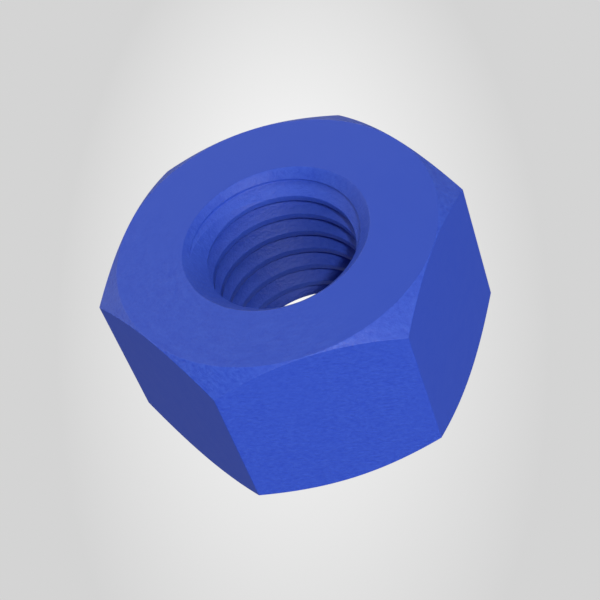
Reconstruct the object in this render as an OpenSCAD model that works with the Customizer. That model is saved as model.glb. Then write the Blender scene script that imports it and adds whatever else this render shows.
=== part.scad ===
// Heavy hex nut, standing on one bearing face.
// Millimetres, +Z up along the bore. The origin is the middle of the lower bearing face,
// and the six flats face -Y, +Y and the four directions 60 degrees apart from them.

/* [Hexagon] */
// Width across flats, which is the wrench size
across_flats = 31.75; // [24:0.05:40]
// Height between the two bearing faces
nut_h = 18.65; // [12:0.05:26]

/* [Corner chamfer] */
// How far the edge of each round bearing face lies inside the flats
face_inset = 0.05; // [0.05:0.05:1.2]
// Slope of the turned chamfer, measured down from the bearing face
chamfer_angle = 36; // [15:1:45]

/* [Bore] */
// Diameter of the hole across the thread crests
bore_d = 14.6; // [8:0.1:17]
// Width of the countersink ring, seen along the axis
countersink_w = 1.95; // [0.5:0.05:3]
// Slope of the countersink, measured down from the bearing face
countersink_angle = 45; // [30:1:60]

/* [Hidden] */
$fn = 96;

// The bearing face is a circle just inside the flats
face_d = across_flats - 2 * face_inset;
across_corners = across_flats / cos(30);
// The turned blank is wider than the corners, so only its cones cut the hexagon
blank_r = across_corners / 2 + 1;
chamfer_drop = (blank_r - face_d / 2) * tan(chamfer_angle);

mouth_r = bore_d / 2 + countersink_w;
countersink_h = countersink_w * tan(countersink_angle);
// The cutter runs past both faces along the countersink's own slope
overrun_w = 0.5;
overrun_h = overrun_w * tan(countersink_angle);

coating_blue = [0.22, 0.33, 0.78];

// Hexagonal bar, cut to length, with corners on the X axis
module hexagon_bar() {
    cylinder(d = across_corners, h = nut_h, $fn = 6);
}

// Half section of the turned envelope that chamfers all six corners at both ends
module turned_envelope() {
    rotate_extrude()
        polygon([
            [0, 0],
            [face_d / 2, 0],
            [blank_r, chamfer_drop],
            [blank_r, nut_h - chamfer_drop],
            [face_d / 2, nut_h],
            [0, nut_h]
        ]);
}

// Half section of the hole: straight wall with a countersink at each end
module bore_cutter() {
    rotate_extrude()
        polygon([
            [0, -overrun_h],
            [mouth_r + overrun_w, -overrun_h],
            [bore_d / 2, countersink_h],
            [bore_d / 2, nut_h - countersink_h],
            [mouth_r + overrun_w, nut_h + overrun_h],
            [0, nut_h + overrun_h]
        ]);
}

module hex_nut() {
    color(coating_blue)
        difference() {
            intersection() {
                hexagon_bar();
                turned_envelope();
            }
            bore_cutter();
        }
}

hex_nut();
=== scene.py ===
import math

import bmesh
import bpy
from mathutils import Matrix, Vector


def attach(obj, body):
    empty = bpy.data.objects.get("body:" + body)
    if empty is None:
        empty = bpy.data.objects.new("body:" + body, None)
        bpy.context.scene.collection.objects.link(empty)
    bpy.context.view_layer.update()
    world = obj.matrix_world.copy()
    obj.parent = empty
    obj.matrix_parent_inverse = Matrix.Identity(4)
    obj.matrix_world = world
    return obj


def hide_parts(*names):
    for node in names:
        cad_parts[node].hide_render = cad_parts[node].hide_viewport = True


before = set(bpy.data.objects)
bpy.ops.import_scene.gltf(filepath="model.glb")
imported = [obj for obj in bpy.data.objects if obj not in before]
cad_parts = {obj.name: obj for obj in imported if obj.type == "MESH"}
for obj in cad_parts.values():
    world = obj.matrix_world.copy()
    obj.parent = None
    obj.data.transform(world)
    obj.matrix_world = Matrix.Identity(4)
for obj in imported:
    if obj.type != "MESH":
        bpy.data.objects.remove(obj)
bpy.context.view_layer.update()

MM = 0.001
# A sixth and a twelfth of a turn
SIXTH = math.radians(60)
TWELFTH = math.radians(30)

# The nut, in millimetres and degrees, with the same sizes as its CAD node
HEIGHT = 18.65
ACROSS_FLATS = 31.75
FACE_INSET = 0.05
CHAMFER_ANGLE = 36
CREST_RADIUS = 7.3
COUNTERSINK_WIDTH = 1.95

APOTHEM = ACROSS_FLATS / 2
CORNER_RADIUS = APOTHEM / math.cos(TWELFTH)
FACE_RADIUS = APOTHEM - FACE_INSET
CHAMFER_SLOPE = math.tan(math.radians(CHAMFER_ANGLE))
MOUTH_RADIUS = CREST_RADIUS + COUNTERSINK_WIDTH

# The thread: right-hand, 60 degree, 10 turns to the inch
PITCH = 2.54
CREST_WIDTH = PITCH / 4
ROOT_WIDTH = PITCH / 8
THREAD_DEPTH = (PITCH - CREST_WIDTH - ROOT_WIDTH) / 2 / math.tan(TWELFTH)
# One crest's middle stands at this height where it passes this angle from +X
CREST_HEIGHT = 13.865
CREST_ANGLE = math.radians(95)
# The turns above and below that crest, more than enough to pass both faces
TURNS = range(-7, 4)

# Softened edges: the radius of each, in millimetres
CORNER_ROUND = 0.12
EDGE_ROUND = 0.10
CHAMFER_ROUND = 0.04
MOUTH_ROUND = 0.08
CREST_ROUND = 0.05
ROOT_ROUND = 0.10
# The most that a rounded edge takes of the line on either side of it
MOST_OF_SIDE = 0.4

# The bore's rows end on the countersinks, this far inside both faces, and the outer rows start there
MARGIN = 0.3

# Columns of the mesh, in degrees: the step of the even ones, the outermost ones beside a corner,
# and how near to one of the others an even one is left out
COLUMN_STEP = 1.2
BESIDE_CORNER = 0.6
CLOSEST = 0.15

# Points nearer than this are one, in metres
SAME_POINT = 2e-7
# A wall this near the countersink's cone is part of it, in millimetres
ON_CONE = 1e-4
# Shading breaks at an edge that turns further than this
SHARP_EDGE = math.radians(40)

# The material of each region of the nut
SLOTS = {"flat": 0, "smooth": 1, "face": 2, "chamfer": 3, "sink": 4, "bore": 5}
# The flats beside the front one, counted from the corner on +X, have fainter marks
SMOOTH_FLATS = (3, 5)


def bend(before, corner, after, radius, pieces):
    """The short arc that rounds one corner of a profile, as pieces + 1 points."""
    corner = Vector(corner)
    back = Vector(before) - corner
    on = Vector(after) - corner
    turn = math.pi - back.angle(on)
    reach = radius * math.tan(turn / 2)
    reach = min(reach, MOST_OF_SIDE * back.length, MOST_OF_SIDE * on.length)
    first = corner + back.normalized() * reach
    last = corner + on.normalized() * reach
    points = []
    for i in range(pieces + 1):
        s = i / pieces
        points.append((1 - s) ** 2 * first + 2 * s * (1 - s) * corner + s**2 * last)
    return points


def wall_radius(angle):
    """Distance from the axis to the flats at an angle, with rounded upright corners."""
    off = math.radians(abs((math.degrees(angle) + 30) % 60 - 30))
    centre = CORNER_RADIUS - CORNER_ROUND / math.sin(SIXTH)
    start = CORNER_RADIUS - CORNER_ROUND * math.tan(TWELFTH) / 2
    if off < math.atan2(CORNER_ROUND / 2, start):
        aside = centre * math.sin(off)
        return centre * math.cos(off) + math.sqrt(CORNER_ROUND**2 - aside**2)
    return APOTHEM / math.cos(TWELFTH - off)


def cone_radius(z):
    """Radius of the 45 degree countersinks at a height, the wider of the two."""
    return MOUTH_RADIUS - min(z, HEIGHT - z)


def thread_turn():
    """The thread's profile over one pitch, as (height from the crest's middle, radius)."""
    flank = THREAD_DEPTH * math.tan(TWELFTH)
    half = CREST_WIDTH / 2
    root = CREST_RADIUS + THREAD_DEPTH
    corners = [
        (-half, CREST_RADIUS, CREST_ROUND),
        (half, CREST_RADIUS, CREST_ROUND),
        (half + flank, root, ROOT_ROUND),
        (half + flank + ROOT_WIDTH, root, ROOT_ROUND),
    ]
    points = []
    for i, (z, r, rounding) in enumerate(corners):
        z0, r0, _ = corners[i - 1]
        z1, r1, _ = corners[(i + 1) % 4]
        z0 -= PITCH if i == 0 else 0
        z1 += PITCH if i == 3 else 0
        points += bend((z0, r0), (z, r), (z1, r1), rounding, 2)
    return points


TURN = thread_turn()


def crest_height(angle):
    """Height of the crest's middle at an angle."""
    return CREST_HEIGHT + PITCH * (angle - CREST_ANGLE) / (2 * math.pi)


def bore_profile(angle):
    """The bore's wall from the bottom up, as (radius, height).

    Each point of the thread that lies inside a countersink moves out on to its cone. One more
    point stands between each two: where the wall passes from thread to cone, or else on the point
    before it, so that every profile has as many points."""
    middle = crest_height(angle)
    thread = [(middle + n * PITCH + z, r) for n in TURNS for z, r in TURN]
    low, high = MARGIN, HEIGHT - MARGIN
    wall = []
    for i, (z, r) in enumerate(thread):
        if low < z < high:
            wall.append((max(r, cone_radius(z)), z))
        else:
            end = low if z <= low else high
            wall.append((cone_radius(end), end))
        if i + 1 < len(thread):
            z2, r2 = thread[i + 1]
            above, above2 = r - cone_radius(z), r2 - cone_radius(z2)
            if above * above2 < 0:
                s = above / (above - above2)
                wall.append((r + (r2 - r) * s, z + (z2 - z) * s))
            else:
                wall.append(wall[-1])
    return wall


# Where inner points stand on the outer profile's lines, as shares of each line
FACE_POINTS = (0.015, 0.25, 0.5, 0.75, 0.985)
CHAMFER_POINTS = (0.04, 0.5, 0.96)
FLAT_POINTS = (0.008, 0.25, 0.5, 0.75, 0.992)
# The lines in their order from the upper countersink down, with the region of each
LINES = [
    ("face", FACE_POINTS),
    ("chamfer", CHAMFER_POINTS),
    ("flat", FLAT_POINTS),
    ("chamfer", CHAMFER_POINTS),
    ("face", FACE_POINTS),
]
ARC_PIECES = 3


def outer_profile(angle):
    """From the upper countersink over face, chamfer and flat to the lower countersink.

    It comes as points, each (radius, height), and the region after each point."""
    wall = wall_radius(angle)
    drop = (wall - FACE_RADIUS) * CHAMFER_SLOPE
    corners = [
        (MOUTH_RADIUS - MARGIN, HEIGHT - MARGIN, 0),
        (MOUTH_RADIUS, HEIGHT, MOUTH_ROUND),
        (FACE_RADIUS, HEIGHT, EDGE_ROUND),
        (wall, HEIGHT - drop, CHAMFER_ROUND),
        (wall, drop, CHAMFER_ROUND),
        (FACE_RADIUS, 0, EDGE_ROUND),
        (MOUTH_RADIUS, 0, MOUTH_ROUND),
        (MOUTH_RADIUS - MARGIN, MARGIN, 0),
    ]
    points, kinds = [], []
    for i in range(1, 7):
        before, corner, after = (c[:2] for c in corners[i - 1:i + 2])
        arc = bend(before, corner, after, corners[i][2], ARC_PIECES)
        if i > 1:
            region, shares = LINES[i - 2]
            kinds += [region] * (len(shares) + 1)
            points += [points[-1].lerp(arc[0], s) for s in shares]
        kinds += ["sink" if i in (1, 6) else "chamfer"] * ARC_PIECES
        points += arc
    return [(r, z) for r, z in points], kinds


def column_angles():
    """Where the profile is placed round the axis: evenly, and closer at the corners.

    The thread's own edges get a column where they meet a countersink."""
    special = []
    step = math.degrees(math.atan2(CORNER_ROUND / 2, CORNER_RADIUS))
    for corner in range(0, 361, 60):
        for off in (-BESIDE_CORNER, -step, -step / 2, 0, step / 2, step, BESIDE_CORNER):
            if 0 <= corner + off <= 360:
                special.append(corner + off)
    start = crest_height(0)
    for z, r in TURN:
        for level in (HEIGHT - (MOUTH_RADIUS - r), MOUTH_RADIUS - r):
            special.append((level - start - z) / PITCH % 1 * 360)
    even = [i * COLUMN_STEP for i in range(round(360 / COLUMN_STEP) + 1)]
    kept = [a for a in even if min(abs(a - s) for s in special) > CLOSEST]
    return [math.radians(a) for a in sorted(special + kept)]


def corners_apart(verts):
    """The corners of a face, without those that lie on the one before."""
    apart = []
    for vert in verts:
        if not apart or (vert.co - apart[-1].co).length > SAME_POINT:
            apart.append(vert)
    if len(apart) > 1 and (apart[0].co - apart[-1].co).length <= SAME_POINT:
        apart.pop()
    return apart


def slot_of(kind, angle, points):
    """The material of one face, which starts at an angle and has these profile points."""
    if kind == "flat" and math.degrees(angle) // 60 in SMOOTH_FLATS:
        kind = "smooth"
    if kind == "bore" and max(abs(r - cone_radius(z)) for r, z in points) < ON_CONE:
        kind = "sink"
    return SLOTS[kind]


def build_nut(name, materials):
    """The nut as one closed mesh: profiles round the axis, joined by faces."""
    angles = column_angles()
    grid = []
    for angle in angles:
        bore = bore_profile(angle)
        outer, outer_kinds = outer_profile(angle)
        grid.append(bore + outer)
    kinds = ["bore"] * (len(bore) - 1) + ["sink"] + outer_kinds + ["sink"]
    rows = len(grid[0])
    bm = bmesh.new()
    made = [
        [bm.verts.new((r * math.cos(a) * MM, r * math.sin(a) * MM, z * MM)) for r, z in column]
        for a, column in zip(angles, grid)
    ]
    for j in range(len(angles) - 1):
        for i in range(rows):
            k = (i + 1) % rows
            places = [(j, i), (j + 1, i), (j + 1, k), (j, k)]
            corners = corners_apart([made[c][n] for c, n in places])
            if len(corners) < 3:
                continue
            face = bm.faces.new(corners)
            face.material_index = slot_of(kinds[i], angles[j], [grid[c][n] for c, n in places])
    bmesh.ops.remove_doubles(bm, verts=bm.verts, dist=SAME_POINT)
    bmesh.ops.recalc_face_normals(bm, faces=bm.faces)
    for edge in bm.edges:
        sides = edge.link_faces
        if len(sides) == 2:
            bores = [f.material_index == SLOTS["bore"] for f in sides]
            edge.smooth = bores[0] == bores[1] and edge.calc_face_angle(0) < SHARP_EDGE
    for face in bm.faces:
        face.smooth = True
    mesh = bpy.data.meshes.new(name)
    bm.to_mesh(mesh)
    bm.free()
    for material in materials:
        mesh.materials.append(material)
    nut = bpy.data.objects.new(name, mesh)
    bpy.context.scene.collection.objects.link(nut)
    return nut


def add(tree, kind, settings=None, values=None):
    """One new node, with its properties and the plain values of its sockets."""
    made = tree.nodes.new(kind)
    for name, value in (settings or {}).items():
        setattr(made, name, value)
    for name, value in (values or {}).items():
        made.inputs[name].default_value = value
    return made


def put(tree, value, socket):
    """Gives a socket a plain number, or links it to another node's output."""
    if isinstance(value, (int, float)):
        socket.default_value = value
    else:
        tree.links.new(value, socket)


def math_node(tree, operation, first, second):
    """One operation on two values, each a plain number or another node's output."""
    made = add(tree, "ShaderNodeMath", {"operation": operation})
    put(tree, first, made.inputs[0])
    put(tree, second, made.inputs[1])
    return made.outputs[0]


def vector_node(tree, operation, vector, other=None):
    """A vector operation, whose second vector, where it has one, is plain."""
    made = add(tree, "ShaderNodeVectorMath", {"operation": operation})
    tree.links.new(vector, made.inputs[0])
    if other:
        made.inputs[1].default_value = other
    gives_number = operation in ("LENGTH", "DOT_PRODUCT")
    return made.outputs["Value" if gives_number else "Vector"]


def joined(tree, values):
    """A vector put together from the values of its axes."""
    made = add(tree, "ShaderNodeCombineXYZ")
    for value, socket in zip(values, made.inputs):
        tree.links.new(value, socket)
    return made.outputs[0]


def ranged(tree, value, low, high, to_low, to_high):
    """A value carried from one range to another and held within it."""
    ends = {"From Min": low, "From Max": high, "To Min": to_low, "To Max": to_high}
    made = add(tree, "ShaderNodeMapRange", None, ends)
    tree.links.new(value, made.inputs["Value"])
    return made.outputs["Result"]


def noise(tree, vector, detail, roughness):
    """Noise with one change to each unit of its coordinates."""
    values = {"Scale": 1, "Detail": detail, "Roughness": roughness}
    made = add(tree, "ShaderNodeTexNoise", None, values)
    tree.links.new(vector, made.inputs["Vector"])
    return made.outputs["Fac"]


def even_noise(tree, place, per_metre, detail, roughness):
    """Noise without a direction, from its changes to the metre."""
    return noise(tree, vector_node(tree, "MULTIPLY", place, (per_metre,) * 3), detail, roughness)


# The tools' marks, in changes to the metre. On the flats and chamfers they are turned by this many
# degrees round Y, and finest across their run, along Z.
SLANT = -25
SLANT_SCALE = (1900, 1900, 4000)
# Elsewhere they run round the axis, with this many changes to a radian. Across them there are
# so many to the metre, outwards on the faces and countersinks and upwards in the bore.
ROUND_SCALE = 11
FACE_SCALE = 1900
THREAD_SCALE = 6000

# The marks are weaker in patches: over the first range of the patches' noise, their strength
# goes over the second one
PATCH_SCALE = 170
PATCHES = (0.35, 0.5)
PATCH_STRENGTHS = (0.7, 1)
# The strength of the marks where a coating fades them out
FAINT = 0.05
# Fine specks among the marks, and soft clouds of colour
SPECK_SCALE = 3000
SPECK_SHARE = 0.8
CLOUD_SCALE = 620
NOISE_MEAN = 0.5
MIDDLE_HEIGHT = (1 + SPECK_SHARE) * NOISE_MEAN

# How strongly the marks' and clouds' change of colour shows in red, green and blue: most in red and
# least in blue, so the lighter side turns greyer, a painted sheen of the tool marks
TONE_AND_GLINT_TINT = (1, 0.75, 0.25)
# The colour is darkest and lightest where the marks are this far below and above their mean; its
# lighter, greyer side is painted sheen
TONE_AND_GLINT_RANGE = 0.3
# How far the roughness goes to either side of its mean, over this range of clouds and marks
ROUGH_SWING = 0.03
SHEENS = (0.45, 1.05)
SHEEN_MARKS = 0.5


def grain_vector(tree, place, grain):
    """Coordinates that run slowly along the tool's path and fast across it."""
    if grain == "slant":
        angle = {"Angle": math.radians(SLANT)}
        turned = add(tree, "ShaderNodeVectorRotate", {"rotation_type": "Y_AXIS"}, angle)
        tree.links.new(place, turned.inputs["Vector"])
        return vector_node(tree, "MULTIPLY", turned.outputs[0], SLANT_SCALE)
    level = vector_node(tree, "MULTIPLY", place, (1, 1, 0))
    direction = vector_node(tree, "NORMALIZE", level)
    around = add(tree, "ShaderNodeSeparateXYZ")
    stretched = vector_node(tree, "MULTIPLY", direction, (ROUND_SCALE, ROUND_SCALE, 0))
    tree.links.new(stretched, around.inputs[0])
    if grain == "round":
        across = math_node(tree, "MULTIPLY", vector_node(tree, "LENGTH", level), FACE_SCALE)
    else:
        parts = add(tree, "ShaderNodeSeparateXYZ")
        tree.links.new(place, parts.inputs[0])
        across = math_node(tree, "MULTIPLY", parts.outputs[2], THREAD_SCALE)
    return joined(tree, (around.outputs[0], around.outputs[1], across))


def coating(name, grain, depth, colour, swing, mottle, gloss, rough, fade=None):
    """Blue coating over machined steel.

    grain is how the tool's marks run, and depth how deep they are, in millimetres. swing is how
    far the marks and clouds change the colour, whose lighter side is also greyer: painted sheen of
    the tool marks, over random tone from the clouds. mottle is how much of that change comes in
    clouds beside the marks. gloss is the mirror-like share and rough how blurred it is. fade gives a
    direction and the two places along it, in millimetres, between which the marks grow from faint to
    full."""
    material = bpy.data.materials.new(name)
    material.use_nodes = True
    tree = material.node_tree
    shader = tree.nodes["Principled BSDF"]
    shader.inputs["Specular IOR Level"].default_value = gloss
    place = add(tree, "ShaderNodeTexCoord").outputs["Object"]

    marks = noise(tree, grain_vector(tree, place, grain), detail=2.5, roughness=0.6)
    patches = even_noise(tree, place, PATCH_SCALE, detail=2, roughness=0.5)
    strength = ranged(tree, patches, *PATCHES, *PATCH_STRENGTHS)
    if fade:
        direction, start, end = fade
        towards = vector_node(tree, "DOT_PRODUCT", place, direction)
        reach = ranged(tree, towards, start * MM, end * MM, FAINT, 1)
        strength = math_node(tree, "MULTIPLY", strength, reach)
    specks = even_noise(tree, place, SPECK_SCALE, detail=3, roughness=0.65)
    height = math_node(tree, "ADD", marks, math_node(tree, "MULTIPLY", specks, SPECK_SHARE))
    bump = add(tree, "ShaderNodeBump", None, {"Distance": depth * MM})
    tree.links.new(strength, bump.inputs["Strength"])
    tree.links.new(height, bump.inputs["Height"])
    tree.links.new(bump.outputs["Normal"], shader.inputs["Normal"])

    level = math_node(tree, "SUBTRACT", height, MIDDLE_HEIGHT)
    level = math_node(tree, "MULTIPLY", level, strength)
    clouds = even_noise(tree, place, CLOUD_SCALE, detail=5, roughness=0.6)
    cloud = math_node(tree, "SUBTRACT", clouds, NOISE_MEAN)
    cloud = math_node(tree, "MULTIPLY", cloud, mottle)
    change = math_node(tree, "ADD", level, cloud)
    # Painted sheen and random tone: the marks and clouds mix a darker tone with a lighter, greyer
    # one, as if the marks caught glints
    tone_and_glint_mix = add(tree, "ShaderNodeMix", {"data_type": "RGBA"})
    tree.links.new(ranged(tree, change, -TONE_AND_GLINT_RANGE, TONE_AND_GLINT_RANGE, 0, 1), tone_and_glint_mix.inputs["Factor"])
    for socket, side in (("A", -1), ("B", 1)):
        tone = [c * (1 + side * swing * f) for c, f in zip(colour, TONE_AND_GLINT_TINT)]
        tone_and_glint_mix.inputs[socket].default_value = tone + [1]
    tree.links.new(tone_and_glint_mix.outputs["Result"], shader.inputs["Base Color"])

    sheen = math_node(tree, "ADD", math_node(tree, "MULTIPLY", marks, SHEEN_MARKS), clouds)
    blur = ranged(tree, sheen, *SHEENS, rough - ROUGH_SWING, rough + ROUGH_SWING)
    tree.links.new(blur, shader.inputs["Roughness"])
    return material


# In the order of SLOTS. The one blue coating gets a slightly different colour in each region, set to
# how bright that region looks under the lamps: these differences are painted light and shade.
coatings = [
    coating(
        "coating_flats", "slant", depth=0.05, colour=(0.0298, 0.0804, 0.560),
        swing=0.30, mottle=0.1, gloss=0.39, rough=0.42,
    ),
    coating(
        "coating_smooth_flats", "slant", depth=0.006, colour=(0.0285, 0.0785, 0.554),
        swing=0.02, mottle=0.1, gloss=0.21, rough=0.42,
    ),
    coating(
        "coating_faces", "round", depth=0.05, colour=(0.028, 0.075, 0.497),
        swing=0.24, mottle=0.1, gloss=0.34, rough=0.42, fade=((-0.8, -0.6, 0), 2, 9),
    ),
    coating(
        "coating_chamfers", "slant", depth=0.049, colour=(0.0293, 0.0778, 0.507),
        swing=0.34, mottle=0.1, gloss=0.38, rough=0.42,
    ),
    coating(
        "coating_countersinks", "round", depth=0.06, colour=(0.0290, 0.0745, 0.480),
        swing=0.24, mottle=0.1, gloss=0.30, rough=0.47,
    ),
    coating(
        "coating_bore", "thread", depth=0.065, colour=(0.0297, 0.079, 0.508),
        swing=0.19, mottle=0.5, gloss=0.38, rough=0.52,
    ),
]
nut = build_nut("nut_body", coatings)
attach(nut, "root")
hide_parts("hex_nut")

# Camera, fitted to the photo. Its place is in millimetres, its shift in pixels.
EYE = Vector((10.63, -122.82, 136.97)) * MM
RIGHT = Vector((0.95013, -0.18161, -0.25353))
UP = Vector((0.30609, 0.69880, 0.64653))
BACK = Vector((0.05976, -0.69188, 0.71954))
SENSOR = 36
LENS = 107.9
SHIFT_X = -0.34
SHIFT_Y = 0.32
PICTURE_WIDTH = 600

camera_data = bpy.data.cameras.new("camera")
camera = bpy.data.objects.new("camera", camera_data)
bpy.context.scene.collection.objects.link(camera)
camera.matrix_world = Matrix((
    (RIGHT.x, UP.x, BACK.x, EYE.x),
    (RIGHT.y, UP.y, BACK.y, EYE.y),
    (RIGHT.z, UP.z, BACK.z, EYE.z),
    (0, 0, 0, 1),
))
camera_data.sensor_width = SENSOR
camera_data.lens = LENS
camera_data.shift_x = SHIFT_X / PICTURE_WIDTH
camera_data.shift_y = SHIFT_Y / PICTURE_WIDTH
camera_data.clip_start = 0.001
camera_data.clip_end = 20
bpy.context.scene.camera = camera

# The backdrop as the camera sees it: a painted pool of light on the floor, a bright oval that fades
# to a plain grey
LIGHT_POOL_BRIGHT = 0.9821
GREY = 0.6584
LIGHT_POOL_CENTRE = (-0.00043, 0.01607, 0)
LIGHT_POOL_ACROSS = (11.57, 0, 0)
LIGHT_POOL_ALONG = (3.0, -5.3, 0)
LIGHT_POOL_END = 0.3237
# The light that the surroundings throw on the nut. The floor gives more of it inside the bore,
# and the change lies between the two distances from the axis, in metres.
WORLD_LIGHT = 0.158
FLOOR_LIGHT = 0.197
BORE_FLOOR_LIGHT = 0.28
BORE_FLOOR_EDGE = (0.0085, 0.0095)

FLOOR_HALF = 1.5
# The floor lies this far under the nut, so that the two don't meet
FLOOR_DROP = 0.00002


def glow(tree, kind, strength):
    """A white shader that gives light."""
    made = add(tree, kind, None, {"Color": (1, 1, 1, 1)})
    put(tree, strength, made.inputs["Strength"])
    return made.outputs[0]


def chosen(tree, choice, first, second):
    """The first shader where the choice is 0, and the second where it is 1."""
    made = add(tree, "ShaderNodeMixShader")
    for value, socket in zip((choice, first, second), made.inputs):
        tree.links.new(value, socket)
    return made.outputs[0]


def fill_floor(tree):
    """White floor with a painted pool of light, brighter to the camera than to the nut, and clear
    from below.
    """
    tree.nodes.clear()
    place = add(tree, "ShaderNodeTexCoord").outputs["Object"]
    from_centre = vector_node(tree, "SUBTRACT", place, LIGHT_POOL_CENTRE)
    sides = [vector_node(tree, "DOT_PRODUCT", from_centre, v) for v in (LIGHT_POOL_ACROSS, LIGHT_POOL_ALONG)]
    distance = vector_node(tree, "LENGTH", joined(tree, sides))
    # The camera sees a painted pool of light: brightest at the oval's middle, fading to grey at its
    # end
    seen = glow(tree, "ShaderNodeEmission", ranged(tree, distance, 0, LIGHT_POOL_END, LIGHT_POOL_BRIGHT, GREY))
    from_axis = vector_node(tree, "LENGTH", place)
    light = ranged(tree, from_axis, *BORE_FLOOR_EDGE, BORE_FLOOR_LIGHT, FLOOR_LIGHT)
    bounce = glow(tree, "ShaderNodeEmission", light)
    to_camera = add(tree, "ShaderNodeLightPath").outputs["Is Camera Ray"]
    above = chosen(tree, to_camera, bounce, seen)
    from_below = add(tree, "ShaderNodeNewGeometry").outputs["Backfacing"]
    clear = add(tree, "ShaderNodeBsdfTransparent").outputs[0]
    output = add(tree, "ShaderNodeOutputMaterial")
    tree.links.new(chosen(tree, from_below, above, clear), output.inputs["Surface"])


def fill_world(tree):
    """Grey to the camera and dimmer to the nut."""
    tree.nodes.clear()
    lit = glow(tree, "ShaderNodeBackground", WORLD_LIGHT)
    seen = glow(tree, "ShaderNodeBackground", GREY)
    to_camera = add(tree, "ShaderNodeLightPath").outputs["Is Camera Ray"]
    output = add(tree, "ShaderNodeOutputWorld")
    tree.links.new(chosen(tree, to_camera, lit, seen), output.inputs["Surface"])


floor_mesh = bpy.data.meshes.new("floor")
square = [(-1, -1), (1, -1), (1, 1), (-1, 1)]
floor_mesh.from_pydata([(x * FLOOR_HALF, y * FLOOR_HALF, 0) for x, y in square], [], [(0, 1, 2, 3)])
floor = bpy.data.objects.new("floor", floor_mesh)
floor.location.z = -FLOOR_DROP
bpy.context.scene.collection.objects.link(floor)
floor_material = bpy.data.materials.new("floor")
floor_material.use_nodes = True
fill_floor(floor_material.node_tree)
floor_mesh.materials.append(floor_material)

world = bpy.data.worlds.new("studio")
bpy.context.scene.world = world
world.use_nodes = True
fill_world(world.node_tree)

# The lamps are round and look at the nut from this far, in metres
LAMP_DISTANCE = 0.7
KEY_WIDTH = 0.05
SOFT_WIDTH = 0.42

# Name, angle from +X, angle above the floor, width and power, in degrees, metres and watts
LAMPS = [
    ("key", -78, 46.6, KEY_WIDTH, 1.87),
    ("front", -90, 12, SOFT_WIDTH, 2.27),
    ("front_right", -45, 12, SOFT_WIDTH, 1.32),
    ("right", 45, 12, SOFT_WIDTH, 0.18),
    ("right_high", 0, 60, SOFT_WIDTH, 0.66),
    ("back_high", 135, 60, SOFT_WIDTH, 1.03),
    ("back", 90, 12, SOFT_WIDTH, 1.10),
    ("back_left", 135, 12, SOFT_WIDTH, 0.45),
    ("left", 157.5, 35, SOFT_WIDTH, 0.47),
]


def direction_of(azimuth, elevation):
    """The direction from the nut at these two angles, in degrees."""
    turn = math.radians(azimuth)
    lift = math.radians(elevation)
    level = math.cos(lift)
    return Vector((math.cos(turn) * level, math.sin(turn) * level, math.sin(lift)))


for name, azimuth, elevation, width, watts in LAMPS:
    data = bpy.data.lights.new(name, "AREA")
    data.shape = "DISK"
    data.size = width
    data.energy = watts
    lamp = bpy.data.objects.new(name, data)
    direction = direction_of(azimuth, elevation)
    lamp.location = direction * LAMP_DISTANCE
    lamp.rotation_euler = direction.to_track_quat("Z", "Y").to_euler()
    bpy.context.scene.collection.objects.link(lamp)

bpy.context.scene.view_settings.view_transform = "Standard"
